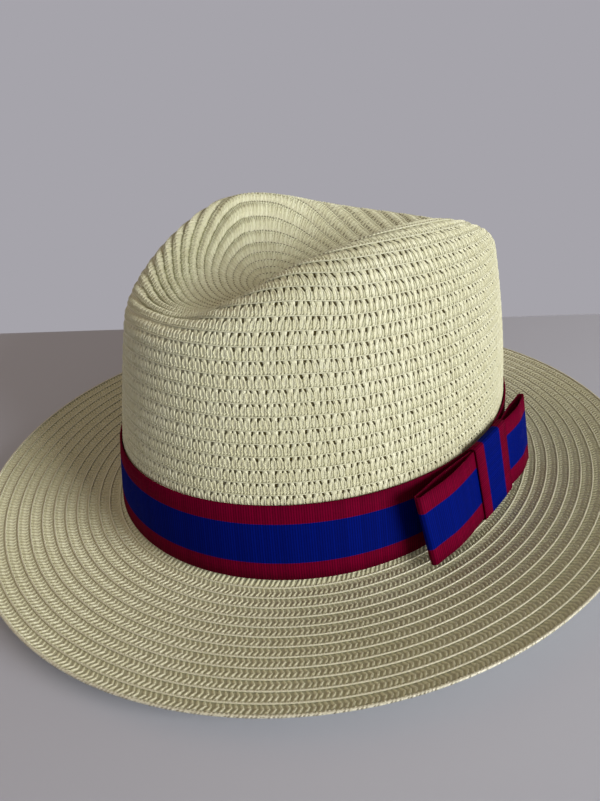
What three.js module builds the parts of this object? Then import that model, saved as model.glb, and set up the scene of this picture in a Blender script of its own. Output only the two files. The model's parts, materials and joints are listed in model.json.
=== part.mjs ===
// Straw fedora with a striped ribbon band and a flat side bow.
// Millimetres. Front of the hat +X, wearer's left +Y, up +Z.
// The hat rests on z = 0 on the underside of its brim, around the foot of the crown.
import * as THREE from 'three';

// ---- crown outline, at the ribbon's lower edge ----
const CROWN_HALF_LENGTH = 103.2;
const CROWN_HALF_WIDTH = 83.6;
const LEAN_STRAIGHT = 0.09;      // inward lean per mm of height
const LEAN_CURVED = 0.0007;      // extra lean, per mm of height squared
const SIDE_LEAN = 1.22;          // the sides lean this much more than the ends
const EGG_FOOT = 0.04;           // the foot is a little wider at the front
const EGG_PER_MM = 0.0019;       // the crown narrows to the front as it rises
const FORWARD_PER_MM = 0.019;    // the crown leans forward as it rises
const BLOCK_HEIGHT = 120;        // height over which the foot line evens out

// ---- crown top ----
const CAP_UP = 8.5;              // height of the rounding below the ridge
const CAP_IN = 9.5;              // width of the rounding
const DISH = 0.32;               // share of the way in where the dent steepens
const BUTTON = new THREE.Vector3(29, -1, 96.5); // start of the braid spiral
const TIP_LOW = 3;               // the wearer's left side sits this much lower
// Height of the ridge above the ribbon's lower edge, every 15 degrees from
// the front; left and right are the wearer's.
const RIDGE = [
  { angle: 0, left: 95, right: 95 },
  { angle: 15, left: 97, right: 95 },
  { angle: 30, left: 105, right: 100.5 },
  { angle: 45, left: 114, right: 107 },
  { angle: 60, left: 119, right: 111.5 },
  { angle: 75, left: 122.5, right: 114.5 },
  { angle: 90, left: 124.5, right: 115.5 },
  { angle: 105, left: 124.5, right: 114.5 },
  { angle: 120, left: 121.5, right: 111.5 },
  { angle: 135, left: 115, right: 107 },
  { angle: 150, left: 107.5, right: 103 },
  { angle: 165, left: 102.5, right: 101 },
  { angle: 180, left: 101, right: 101 },
];

// ---- brim ----
const BRIM_HALF_LENGTH = 163;
const BRIM_HALF_WIDTH = 144;
const BREAK_WIDTH = 6;           // rounding between crown and brim
const BRIM_EDGE_HEIGHT = 9;      // mean height of the brim's edge, top side
const BRIM_FLAT = 9;             // ring around the crown that lies flat on the table
const BRIM_CURL = 1.2;           // power by which the rest rises to the edge
const TABLE_CONTACT = 0.15;      // underside closer than this lies on the table
const EDGE_WAVE_ENDS = -1;       // edge height: front and back against the sides
const EDGE_WAVE_TWIST = -1.6;
const EDGE_WAVE_FRONT = 1;
const EDGE_WAVE_LEFT = 1.2;

// ---- ribbon line ----
const RIBBON_FOOT = 4.6;         // mean height of the ribbon's lower edge
const FOOT_WAVE_ENDS = 1.6;
const FOOT_WAVE_FRONT = -1.2;
const RIBBON_WIDTH = 32;

// ---- thicknesses and gaps ----
const STRAW = 1.8;
const RIBBON = 0.8;
const GAP = 0.3;
const STRAW_INSET = 0.6;         // straw face behind the ribbon's mid face

// ---- bow ----
const BOW_CENTRE = new THREE.Vector3(-23, 84.15, 21);
const BOW_TURN = THREE.MathUtils.degToRad(10);   // follows the side of the crown
const BOW_LEAN = THREE.MathUtils.degToRad(15);   // foot stands further out
const BOW_BEND = 360;            // radius to which the flat bow bends
const FRONT_WING = 50.5;         // from the middle of the wrap
const BACK_WING = 41.8;
const BOW_FLARE = 0.05;          // the bow is this share longer along its top than its foot
const BACK_LIFT = 1.5;           // the end of the back wing stands higher
const WING_OPEN = 3.2;           // clear space in the loop's outer end
const WRAP_WIDTH = 28;
const WRAP_OVERHANG = 0.6;       // wrap stands past the loops, above and below
const WRAP_CORNER = 0.9;         // bevel where the wrap turns over the loops
const WING_FILL = 0.7;           // share of a wing over which its loop opens

// ---- fineness of the facets ----
const AROUND = 64;
const BRIM_STEPS = 6;
const BREAK_STEPS = 4;
const WALL_STEPS = 7;
const CAP_STEPS = 4;
const DISH_STEPS = 9;
const DISH_CROWDING = 1.3;       // rings sit closer together near the ridge
const WING_STEPS = 4;
const WAIST_STEPS = 2;
const FOLD_STEPS = 4;

const FULL_TURN = 2 * Math.PI;

// Smooth curve through the ridge table.
function ridgeHeight(angle) {
  const step = FULL_TURN / 24;
  const turn = ((angle / step) % 24 + 24) % 24;
  const first = Math.floor(turn);
  const t = turn - first;
  const row = (i) => {
    const k = ((i % 24) + 24) % 24;
    return k <= 12 ? RIDGE[k].left : RIDGE[24 - k].right;
  };
  const [a, b, c, d] = [row(first - 1), row(first), row(first + 1), row(first + 2)];
  const slope = (c - a) / 2;
  const nextSlope = (d - b) / 2;
  const rise = c - b;
  return b + slope * t + (3 * rise - 2 * slope - nextSlope) * t * t
    + (slope + nextSlope - 2 * rise) * t * t * t;
}

// Height of the ribbon's lower edge above the table.
function footHeight(angle) {
  return RIBBON_FOOT + FOOT_WAVE_ENDS * Math.cos(2 * angle)
    + FOOT_WAVE_FRONT * Math.cos(angle);
}

// Point on the side of the crown; height counts from the ribbon's lower edge.
function wallPoint(angle, height, outward) {
  const lean = LEAN_STRAIGHT * height + LEAN_CURVED * height * height;
  const a = CROWN_HALF_LENGTH - lean + outward;
  const b = CROWN_HALF_WIDTH - SIDE_LEAN * lean + outward;
  const radius = 1 / Math.hypot(Math.cos(angle) / a, Math.sin(angle) / b);
  const x = radius * Math.cos(angle);
  const narrowing = 1 + (EGG_FOOT - EGG_PER_MM * height) * x / a;
  const evened = 1 - height / BLOCK_HEIGHT;
  const wave = (footHeight(angle) - RIBBON_FOOT) * evened;
  const tilt = -TIP_LOW * height / 100 * Math.sin(angle);
  return new THREE.Vector3(
    x + FORWARD_PER_MM * height,
    radius * Math.sin(angle) * narrowing,
    RIBBON_FOOT + height + wave + tilt,
  );
}

// Crown from the ribbon line up the side, over the ridge and into the dent.
function crownPath(angle) {
  const wallTop = ridgeHeight(angle) - CAP_UP;
  const points = [];
  for (let i = 0; i <= WALL_STEPS; i += 1) {
    points.push(wallPoint(angle, wallTop * i / WALL_STEPS, -STRAW_INSET));
  }
  const top = points[WALL_STEPS];
  const below = wallPoint(angle, wallTop - 1, -STRAW_INSET);
  const lean = Math.hypot(top.x - below.x, top.y - below.y) / (top.z - below.z);
  const inward = new THREE.Vector3(BUTTON.x - top.x, BUTTON.y - top.y, 0);
  const reach = inward.length();
  inward.normalize();
  for (let i = 1; i <= CAP_STEPS; i += 1) {
    const u = Math.PI / 2 * i / CAP_STEPS;
    const inset = CAP_IN * (1 - Math.cos(u)) + lean * CAP_UP * Math.sin(u) * Math.cos(u);
    const point = top.clone().addScaledVector(inward, inset);
    point.z += CAP_UP * Math.sin(u);
    points.push(point);
  }
  const ridge = top.z + CAP_UP;
  for (let i = 1; i < DISH_STEPS; i += 1) {
    const q = (i / DISH_STEPS) ** DISH_CROWDING;
    const sunk = (1 + DISH * DISH) * q * q / (q * q + DISH * DISH);
    const point = top.clone().addScaledVector(inward, CAP_IN + (reach - CAP_IN) * q);
    point.z = ridge + (BUTTON.z - ridge) * sunk;
    points.push(point);
  }
  return points;
}

// Brim from its edge inward and up the rounding to the ribbon line.
function brimPath(angle) {
  const foot = wallPoint(angle, 0, -STRAW_INSET);
  const radius = 1 / Math.hypot(
    Math.cos(angle) / BRIM_HALF_LENGTH,
    Math.sin(angle) / BRIM_HALF_WIDTH,
  );
  const edge = new THREE.Vector3(
    radius * Math.cos(angle),
    radius * Math.sin(angle),
    BRIM_EDGE_HEIGHT + EDGE_WAVE_ENDS * Math.cos(2 * angle)
      + EDGE_WAVE_TWIST * Math.sin(2 * angle)
      + EDGE_WAVE_FRONT * Math.cos(angle) + EDGE_WAVE_LEFT * Math.sin(angle),
  );
  const outward = new THREE.Vector3(edge.x - foot.x, edge.y - foot.y, 0);
  const width = outward.length();
  outward.normalize();
  const flatEnd = BREAK_WIDTH + BRIM_FLAT;
  const points = [];
  for (let i = BRIM_STEPS; i >= 0; i -= 1) {
    const u = i / BRIM_STEPS;
    const point = foot.clone().addScaledVector(outward, flatEnd + (width - flatEnd) * u);
    point.z = STRAW + (edge.z - STRAW) * u ** BRIM_CURL;
    points.push(point);
  }
  points.push(foot.clone().addScaledVector(outward, BREAK_WIDTH).setZ(STRAW));
  for (let i = 1; i < BREAK_STEPS; i += 1) {
    const turn = Math.PI / 2 * i / BREAK_STEPS;
    const point = foot.clone().addScaledVector(outward, BREAK_WIDTH * (1 - Math.sin(turn)));
    point.z = STRAW + (foot.z - STRAW) * (1 - Math.cos(turn));
    points.push(point);
  }
  return points;
}

function triangleMesh(name, vertices, triangles, look) {
  const geometry = new THREE.BufferGeometry();
  const numbers = vertices.flatMap((vertex) => vertex.toArray());
  geometry.setAttribute('position', new THREE.Float32BufferAttribute(numbers, 3));
  geometry.setIndex(triangles.flat());
  geometry.computeVertexNormals();
  const mesh = new THREE.Mesh(geometry, new THREE.MeshStandardMaterial(look));
  mesh.name = name;
  return mesh;
}

// Sheet of even thickness under a closed-top surface.
// rings[i][j] runs around with i and from the edge to the middle with j.
function cappedShell(name, rings, middle, thickness, look) {
  const around = rings.length;
  const steps = rings[0].length;
  const outside = rings.flat();
  const inside = [];
  for (let i = 0; i < around; i += 1) {
    const next = rings[(i + 1) % around];
    const last = rings[(i + around - 1) % around];
    for (let j = 0; j < steps; j += 1) {
      const along = new THREE.Vector3().subVectors(
        j + 1 < steps ? rings[i][j + 1] : middle,
        rings[i][Math.max(j - 1, 0)],
      );
      const across = new THREE.Vector3().subVectors(next[j], last[j]);
      const normal = across.cross(along).normalize();
      const under = rings[i][j].clone().addScaledVector(normal, -thickness);
      if (Math.abs(under.z) < TABLE_CONTACT) {
        under.setZ(0);
      }
      inside.push(under);
    }
  }
  const vertices = [...outside, ...inside, middle, middle.clone().setZ(middle.z - thickness)];
  const outer = (i, j) => (i % around) * steps + j;
  const inner = (i, j) => around * steps + outer(i, j);
  const outerMiddle = 2 * around * steps;
  const innerMiddle = outerMiddle + 1;
  const triangles = [];
  for (let i = 0; i < around; i += 1) {
    for (let j = 0; j + 1 < steps; j += 1) {
      triangles.push([outer(i, j), outer(i + 1, j), outer(i + 1, j + 1)]);
      triangles.push([outer(i, j), outer(i + 1, j + 1), outer(i, j + 1)]);
      triangles.push([inner(i, j), inner(i + 1, j + 1), inner(i + 1, j)]);
      triangles.push([inner(i, j), inner(i, j + 1), inner(i + 1, j + 1)]);
    }
    triangles.push([outer(i, steps - 1), outer(i + 1, steps - 1), outerMiddle]);
    triangles.push([inner(i + 1, steps - 1), inner(i, steps - 1), innerMiddle]);
    triangles.push([outer(i, 0), inner(i, 0), inner(i + 1, 0)]);
    triangles.push([outer(i, 0), inner(i + 1, 0), outer(i + 1, 0)]);
  }
  return triangleMesh(name, vertices, triangles, look);
}

// Closed ring with the same closed section at every station.
function sweptRing(name, sections, look) {
  const count = sections.length;
  const corners = sections[0].length;
  const index = (i, j) => (i % count) * corners + (j % corners);
  const triangles = [];
  for (let i = 0; i < count; i += 1) {
    for (let j = 0; j < corners; j += 1) {
      triangles.push([index(i, j), index(i + 1, j), index(i + 1, j + 1)]);
      triangles.push([index(i, j), index(i + 1, j + 1), index(i, j + 1)]);
    }
  }
  return triangleMesh(name, sections.flat(), triangles, look);
}

const angles = Array.from({ length: AROUND }, (_, i) => FULL_TURN * i / AROUND);

// ---- straw body: crown and brim sewn as one spiral of braid ----
function strawBody(look) {
  const rings = angles.map((angle) => [...brimPath(angle), ...crownPath(angle)]);
  return cappedShell('straw_body', rings, BUTTON, STRAW, look);
}

// ---- ribbon band around the foot of the crown ----
function hatBand(look) {
  const inner = GAP - STRAW_INSET;
  const outer = inner + RIBBON;
  const sections = angles.map((angle) => [
    wallPoint(angle, 0, inner),
    wallPoint(angle, 0, outer),
    wallPoint(angle, RIBBON_WIDTH / 2, outer),
    wallPoint(angle, RIBBON_WIDTH, outer),
    wallPoint(angle, RIBBON_WIDTH, inner),
    wallPoint(angle, RIBBON_WIDTH / 2, inner),
  ]);
  return sweptRing('hat_band', sections, look);
}

// Place on the bow: along runs to the front, out points away from the crown and
// up runs up the leaning ribbon.
function bowPoint(along, out, up) {
  const flared = along * (1 + BOW_FLARE * up / RIBBON_WIDTH);
  const lifted = up + BACK_LIFT * (Math.min(along, 0) / BACK_WING) ** 2;
  const bent = out - along * along / (2 * BOW_BEND);
  const level = bent * Math.cos(BOW_LEAN) - lifted * Math.sin(BOW_LEAN);
  const rise = bent * Math.sin(BOW_LEAN) + lifted * Math.cos(BOW_LEAN);
  return new THREE.Vector3(
    BOW_CENTRE.x + flared * Math.cos(BOW_TURN) - level * Math.sin(BOW_TURN),
    BOW_CENTRE.y + flared * Math.sin(BOW_TURN) + level * Math.cos(BOW_TURN),
    BOW_CENTRE.z + rise,
  );
}

// Even steps from start up to, but not including, end.
function evenSteps(start, end, steps) {
  return Array.from({ length: steps }, (_, i) => start + (end - start) * i / steps);
}

// Flattened loop of ribbon seen from above, as pairs [along, out].
function loopLine() {
  const endRound = (WING_OPEN + RIBBON + GAP) / 2;
  const front = FRONT_WING - endRound;
  const back = BACK_WING - endRound;
  const halfLoop = (along) => {
    const end = along > 0 ? front : back;
    const past = Math.max(0, Math.abs(along) - WRAP_WIDTH / 2) / (end - WRAP_WIDTH / 2);
    const opened = Math.sin(Math.PI / 2 * Math.min(past / WING_FILL, 1));
    return (GAP + RIBBON + WING_OPEN * opened) / 2;
  };
  const waist = WRAP_WIDTH / 2;
  const side = [
    ...evenSteps(front, waist, WING_STEPS),
    ...evenSteps(waist, -waist, WAIST_STEPS),
    ...evenSteps(-waist, -back, WING_STEPS),
    -back,
  ].map((along) => [along, halfLoop(along)]);
  const backFold = [];
  const frontFold = [];
  for (let i = 1; i < FOLD_STEPS; i += 1) {
    const turn = Math.PI * i / FOLD_STEPS;
    backFold.push([-back - endRound * Math.sin(turn), halfLoop(-back) * Math.cos(turn)]);
    frontFold.push([front + endRound * Math.sin(turn), -halfLoop(front) * Math.cos(turn)]);
  }
  const otherSide = side.map(([along, out]) => [along, -out]).reverse();
  return [...side, ...backFold, ...otherSide, ...frontFold];
}

// Ribbon standing on a closed line, with half its thickness on each side.
function standingLoop(name, line, place, look) {
  const count = line.length;
  const sections = line.map(([a, b], i) => {
    const [nextA, nextB] = line[(i + 1) % count];
    const [lastA, lastB] = line[(i + count - 1) % count];
    const length = Math.hypot(nextA - lastA, nextB - lastB);
    const sideA = -(nextB - lastB) / length * RIBBON / 2;
    const sideB = (nextA - lastA) / length * RIBBON / 2;
    return place(a - sideA, b - sideB, a + sideA, b + sideB);
  });
  return sweptRing(name, sections, look);
}

function bowLoops(look) {
  const half = RIBBON_WIDTH / 2;
  return standingLoop('bow_loops', loopLine(), (outA, outB, inA, inB) => [
    bowPoint(outA, outB, -half),
    bowPoint(outA, outB, half),
    bowPoint(inA, inB, half),
    bowPoint(inA, inB, -half),
  ], look);
}

// Wrap around the waist of the bow, its line running out and up.
function bowWrap(look) {
  const halfUp = RIBBON_WIDTH / 2 + WRAP_OVERHANG + RIBBON / 2;
  const halfOut = (GAP + RIBBON) / 2 + RIBBON / 2 + GAP + RIBBON / 2;
  const inOut = halfOut - WRAP_CORNER;
  const inUp = halfUp - WRAP_CORNER;
  const line = [
    [halfOut, -inUp], [halfOut, inUp],
    [inOut, halfUp], [-inOut, halfUp],
    [-halfOut, inUp], [-halfOut, -inUp],
    [-inOut, -halfUp], [inOut, -halfUp],
  ];
  const half = WRAP_WIDTH / 2;
  return standingLoop('bow_wrap', line, (outerOut, outerUp, innerOut, innerUp) => [
    bowPoint(-half, outerOut, outerUp),
    bowPoint(0, outerOut, outerUp),
    bowPoint(half, outerOut, outerUp),
    bowPoint(half, innerOut, innerUp),
    bowPoint(0, innerOut, innerUp),
    bowPoint(-half, innerOut, innerUp),
  ], look);
}

const strawLook = { color: '#d9d4b4', roughness: 0.85, metalness: 0 };
const ribbonLook = { color: '#1b2a8c', roughness: 0.75, metalness: 0 };
const wrapLook = { color: '#7a1038', roughness: 0.75, metalness: 0 };

const hat = new THREE.Group();
hat.name = 'fedora';
hat.add(strawBody(strawLook), hatBand(ribbonLook), bowLoops(ribbonLook), bowWrap(wrapLook));

export default hat;
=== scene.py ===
# %% [markdown]
# # Finishing a straw fedora
#
# The solid model of this hat is already packed: a straw body, a ribbon band and a flat bow.
# It gives the true sizes, and it is what a physics program meets. This lesson builds what
# the eye meets: a long narrow braid of twisted paper straw, sewn row over row from the
# middle of the crown to the edge of the brim, and a ribbed ribbon with woven stripes.
#
# The first lines load the imported model. The finish may not grow far past it.

# %% The imported model
import json
import math

import bpy
import numpy as np
from mathutils import Matrix

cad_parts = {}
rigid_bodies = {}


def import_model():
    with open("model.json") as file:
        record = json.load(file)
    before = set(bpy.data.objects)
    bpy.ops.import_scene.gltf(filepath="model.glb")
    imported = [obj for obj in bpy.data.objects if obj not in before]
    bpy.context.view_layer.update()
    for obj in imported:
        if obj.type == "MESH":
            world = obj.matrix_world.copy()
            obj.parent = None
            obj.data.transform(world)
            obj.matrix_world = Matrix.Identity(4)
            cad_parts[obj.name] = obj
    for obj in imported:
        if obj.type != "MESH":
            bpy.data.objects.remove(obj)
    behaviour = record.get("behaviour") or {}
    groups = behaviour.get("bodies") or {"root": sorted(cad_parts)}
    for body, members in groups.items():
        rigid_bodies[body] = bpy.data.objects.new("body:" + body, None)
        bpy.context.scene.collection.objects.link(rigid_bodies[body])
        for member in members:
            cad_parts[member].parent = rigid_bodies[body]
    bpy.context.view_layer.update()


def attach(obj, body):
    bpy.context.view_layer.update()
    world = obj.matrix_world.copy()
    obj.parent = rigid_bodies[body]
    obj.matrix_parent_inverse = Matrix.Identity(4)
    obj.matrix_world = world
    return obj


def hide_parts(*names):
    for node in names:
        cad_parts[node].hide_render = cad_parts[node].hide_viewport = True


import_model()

MM = 0.001
ROOT = "root"

# %% [markdown]
# ## Camera
#
# A short lens close to the hat makes the near brim spread wide, as it does to an eye at
# arm's length. The camera is placed first, so every later step can be looked at. Heading is
# the compass direction that it looks in, counted from +X to +Y, and the small roll is the
# tilt of a hand-held camera.

# %% Camera
CAMERA_PLACE = (0.1759, 0.1954, 0.1785)
CAMERA_HEADING = math.radians(230.39)
CAMERA_PITCH = math.radians(-29.44)
CAMERA_ROLL = math.radians(-1.88)
LENS_MM = 27.19

lens = bpy.data.cameras.new("camera")
lens.lens = LENS_MM
lens.sensor_width = 36.0
lens.clip_start = 0.01
camera = bpy.data.objects.new("camera", lens)
bpy.context.scene.collection.objects.link(camera)
camera.matrix_world = (
    Matrix.Translation(CAMERA_PLACE)
    @ Matrix.Rotation(CAMERA_HEADING - math.pi / 2, 4, "Z")
    @ Matrix.Rotation(CAMERA_PITCH + math.pi / 2, 4, "X")
    @ Matrix.Rotation(CAMERA_ROLL, 4, "Z")
)
bpy.context.scene.camera = camera
print("camera", LENS_MM, "mm lens,", round(camera.location.length, 3), "m from the origin")

# %% [markdown]
# ## Helpers for nodes, colours and meshes
#
# Materials and Geometry Nodes are both graphs. One small function adds a node, sets its
# options and fills its inputs, which are given by name or in order. An input given as a
# node becomes a link from that node's first output, one given as an output becomes a link
# from it, and anything else becomes a value.

# %% Adding a node
MATH, VECTOR_MATH, MIX = "ShaderNodeMath", "ShaderNodeVectorMath", "ShaderNodeMix"


def fill_inputs(tree, node, inputs):
    named = inputs if isinstance(inputs, dict) else dict(enumerate(inputs))
    for socket, value in named.items():
        if isinstance(value, bpy.types.Node):
            value = next(output for output in value.outputs if output.enabled)
        if isinstance(value, bpy.types.NodeSocket):
            tree.links.new(value, node.inputs[socket])
        else:
            node.inputs[socket].default_value = value


def add_node(tree, kind, inputs=(), **settings):
    made = tree.nodes.new(kind)
    for key, value in settings.items():
        setattr(made, key, value)
    fill_inputs(tree, made, inputs)
    return made


print("Blender", bpy.app.version_string)

# %% [markdown]
# Colours are written as the hex values that a screen shows, and one function turns them
# into the linear numbers that a shader wants. Two more helpers make a mesh object from
# plain lists of points and faces, and keep a number at each of its points, as an attribute
# that a material or a node tree can read.

# %% Colours and meshes
def colour(hex_value):
    parts = [int(hex_value[i:i + 2], 16) / 255 for i in (1, 3, 5)]
    linear = [c / 12.92 if c <= 0.04045 else ((c + 0.055) / 1.055) ** 2.4 for c in parts]
    return (*linear, 1.0)


def new_material(name):
    material = bpy.data.materials.new(name)
    material.use_nodes = True
    tree = material.node_tree
    return material, tree, tree.nodes["Principled BSDF"]


def link_mesh(name, points, faces=(), edges=(), smooth=True, collection=None):
    """A mesh object; smooth is one answer for all faces, or a list with one for each."""
    mesh = bpy.data.meshes.new(name)
    mesh.from_pydata(points, edges, faces)
    mesh.polygons.foreach_set("use_smooth", np.broadcast_to(smooth, len(faces)).tolist())
    made = bpy.data.objects.new(name, mesh)
    (collection or bpy.context.scene.collection).objects.link(made)
    return made


def store(made, name, values, kind="FLOAT"):
    """Keep one number (or vector) per vertex on a mesh."""
    field = "value" if kind == "FLOAT" else "vector"
    made.data.attributes.new(name, kind, "POINT").data.foreach_set(
        field, np.ascontiguousarray(values, dtype=np.float32).reshape(-1))


print("a mid grey on the screen is", round(colour("#808080")[0], 3), "in linear light")

# %% [markdown]
# ## Floor and light
#
# The hat stands on a pale painted table top that ends a little way behind it, and a plain
# wall colour fills the world beyond, darker towards the ceiling. The light is soft and
# comes from one side, as from a window to the camera's right: it rakes across the braid
# and leaves the other side of the crown in half shade. A second, much weaker and warmer
# light opens the shadows.

# %% Table top
TABLE_BACK_EDGE = 0.175  # from the hat's middle, away from the camera
TABLE_SIZE = 2.4
TABLE_DROP = 0.0002      # just below the brim, so that no two faces lie in one plane


def from_heading(forward, right):
    """A point on the table, forward along the camera's heading and to its right."""
    along = (math.cos(CAMERA_HEADING), math.sin(CAMERA_HEADING))
    side = (along[1], -along[0])
    return (along[0] * forward + side[0] * right, along[1] * forward + side[1] * right)


table_top = link_mesh("table_top", [
    (*from_heading(forward, right), -TABLE_DROP)
    for forward, right in (
        (TABLE_BACK_EDGE, -TABLE_SIZE), (-TABLE_SIZE, -TABLE_SIZE),
        (-TABLE_SIZE, TABLE_SIZE), (TABLE_BACK_EDGE, TABLE_SIZE))],
    [(0, 1, 2, 3)], smooth=False)
table_paint, tree, shader = new_material("painted_table_top")
fill_inputs(tree, shader, {"Base Color": colour("#C4C9DD"), "Roughness": 0.7})
table_top.data.materials.append(table_paint)
print("table top ends", TABLE_BACK_EDGE, "m behind the hat's middle")

# %% Room
CEILING_STARTS, CEILING_FULL = 0.12, 0.5  # 0 looks level, 1 looks straight up

world = bpy.data.worlds.new("room")
bpy.context.scene.world = world
world.use_nodes = True
room = world.node_tree
direction = add_node(room, "ShaderNodeTexCoord").outputs["Generated"]
height_in_room = add_node(room, "ShaderNodeSeparateXYZ", (direction,)).outputs["Z"]
ceiling = add_node(room, "ShaderNodeMapRange", {
    "Value": height_in_room, "From Min": CEILING_STARTS, "From Max": CEILING_FULL},
    interpolation_type="SMOOTHSTEP")
room_colour = add_node(room, MIX, {
    "Factor": ceiling, "A": colour("#A6A4AB"), "B": colour("#80776C")}, data_type="RGBA")
fill_inputs(room, room.nodes["Background"], {"Color": room_colour})
print("room of", len(room.nodes), "nodes")


# %% Lights
def soft_light(name, azimuth, elevation, distance, size, watts, tint):
    """A round lamp that faces the hat; angles in degrees, lengths in metres."""
    area = bpy.data.lights.new(name, "AREA")
    area.shape = "DISK"
    area.size = size
    area.energy = watts
    area.color = colour(tint)[:3]
    made = bpy.data.objects.new(name, area)
    bpy.context.scene.collection.objects.link(made)
    azimuth, elevation = math.radians(azimuth), math.radians(elevation)
    made.location = (
        distance * math.cos(elevation) * math.cos(azimuth),
        distance * math.cos(elevation) * math.sin(azimuth),
        distance * math.sin(elevation),
    )
    made.rotation_euler = (math.pi / 2 - elevation, 0, azimuth + math.pi / 2)
    print(name, watts, "W,", distance, "m away")


soft_light("window", azimuth=102.5, elevation=18.5, distance=1.35, size=0.8,
           watts=17.2, tint="#FFFCF2")
soft_light("room_side", azimuth=300, elevation=45, distance=1.8, size=1.6,
           watts=3.6, tint="#FFD6A6")
bpy.context.scene.view_settings.view_transform = "Standard"

# %% [markdown]
# ## The hat's surface
#
# Every row of braid lies on one smooth surface, so that surface comes first. It is drawn as
# one path for each angle around the crown: in from the brim's edge, over the flat ring that
# the hat rests on, up the side, over the ridge and down into the dent, to the button where
# the braid starts. The front of the hat is +X and the wearer's left is +Y. The sizes are
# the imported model's, in millimetres.

# %% Sizes of the hat, in millimetres
CROWN_HALF_LENGTH, CROWN_HALF_WIDTH = 103.2, 83.6
# how far the sides come in per mm of height, and how much more they do at left and right
LEAN_STRAIGHT, LEAN_CURVED, SIDE_LEAN = 0.09, 0.0007, 1.22
# the foot is wider at the front, the top is narrower there, and the crown leans forward
EGG_FOOT, EGG_PER_MM, FORWARD_PER_MM = 0.04, 0.0019, 0.019
# the foot's waves are gone at this height; the left side tips this much lower in 100
BLOCK_HEIGHT, TIP_LOW = 120, 3
# the ridge's rounding, up and inwards; the smaller the dish, the steeper the dent's sides
CAP_UP, CAP_IN, DISH = 8.5, 9.5, 0.32
BUTTON = np.array([29, -1, 96.5])
BRIM_HALF_LENGTH, BRIM_HALF_WIDTH = 163, 144
# the bend at the crown's foot, the flat ring, and the power of the brim's curl
BREAK_WIDTH, BRIM_FLAT, BRIM_CURL = 6, 9, 1.2
BRIM_EDGE_HEIGHT = 9
EDGE_ENDS, EDGE_TWIST, EDGE_FRONT, EDGE_LEFT = -1, -1.6, 1, 1.2  # waves of the brim's edge
RIBBON_FOOT, FOOT_ENDS, FOOT_FRONT = 4.6, 1.6, -1.2  # and of the ribbon's lower edge
RIBBON_WIDTH, RIBBON, GAP = 32, 0.8, 0.3
STRAW, STRAW_INSET = 1.8, 0.6
# ridge height above the ribbon's foot, every 15 degrees from the front to the back,
# and the rows of braid between the ribbon's top and the ridge at the same angles
RIDGE_LEFT = (95, 97, 105, 114, 119, 122.5, 124.5, 124.5, 121.5, 115, 107.5, 102.5, 101)
RIDGE_RIGHT = (95, 95, 100.5, 107, 111.5, 114.5, 115.5, 114.5, 111.5, 107, 103, 101, 101)
ROWS_LEFT = (13.6, 13.9, 15.6, 17.4, 18.8, 19.6, 20.1, 20.2, 19.7, 18.5, 16.8, 15.5, 15.2)
ROWS_RIGHT = (13.6, 14.4, 16.8, 19, 20.4, 21.4, 22, 22, 21.8, 21, 19.2, 17, 15.2)


# %% Curves around and up the crown
def around_table(left, right, angle):
    """Smooth closed curve through values given every 15 degrees for both sides."""
    values = np.array([*left, *right[-2:0:-1]], float)
    place = np.asarray(angle) / math.radians(15) % len(values)
    first = np.floor(place).astype(int)
    t = place - first
    a, b, c, d = (values[(first + k) % len(values)] for k in (-1, 0, 1, 2))
    slope, next_slope, rise = (c - a) / 2, (d - b) / 2, c - b
    return (b + slope * t + (3 * rise - 2 * slope - next_slope) * t**2
            + (slope + next_slope - 2 * rise) * t**3)


def wall_point(angle, height, outward):
    """Point on the side of the crown; height counts from the ribbon's foot."""
    lean = LEAN_STRAIGHT * height + LEAN_CURVED * height**2
    a = CROWN_HALF_LENGTH - lean + outward
    b = CROWN_HALF_WIDTH - SIDE_LEAN * lean + outward
    radius = 1 / np.hypot(np.cos(angle) / a, np.sin(angle) / b)
    x = radius * np.cos(angle)
    narrowing = 1 + (EGG_FOOT - EGG_PER_MM * height) * x / a
    wave = FOOT_ENDS * np.cos(2 * angle) + FOOT_FRONT * np.cos(angle)
    tilt = -TIP_LOW * height / 100 * np.sin(angle)
    z = RIBBON_FOOT + height + wave * (1 - height / BLOCK_HEIGHT) + tilt
    return np.stack(np.broadcast_arrays(
        x + FORWARD_PER_MM * height, radius * np.sin(angle) * narrowing, z), -1)


def length_along(points):
    """How far it is from the first point to each point."""
    steps = np.linalg.norm(np.diff(points, axis=0), axis=1)
    return np.concatenate([[0], np.cumsum(steps)])


print("front of the crown's foot", wall_point(0.0, 0.0, 0.0).round(1), "mm")

# %% [markdown]
# Rows of braid are counted with one number, n. It is 0 at the ribbon's upper edge, grows up
# the side and into the dent to 32 at the button, and falls under the ribbon and out over the
# brim. With a place on the surface for every n, the braid can be made flat, as rows on
# squared paper, and laid on the hat afterwards.

# %% Rows over the brim
ROWS_TO_BUTTON = 32
ROWS_UNDER_RIBBON = 6.6
FIRST_BRIM_ROW, BRIM_ROWS = -7, 12
FIRST_BRIM_LINE = 3.0  # mm from the crown to the first row's edge
EDGE_PHASE = 0.3       # a row's outer edge lies this far below its number
BRIM_STARTS = FIRST_BRIM_ROW - EDGE_PHASE
ROW_AT_EDGE = BRIM_STARTS - BRIM_ROWS
BRIM_POINTS = 90


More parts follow.
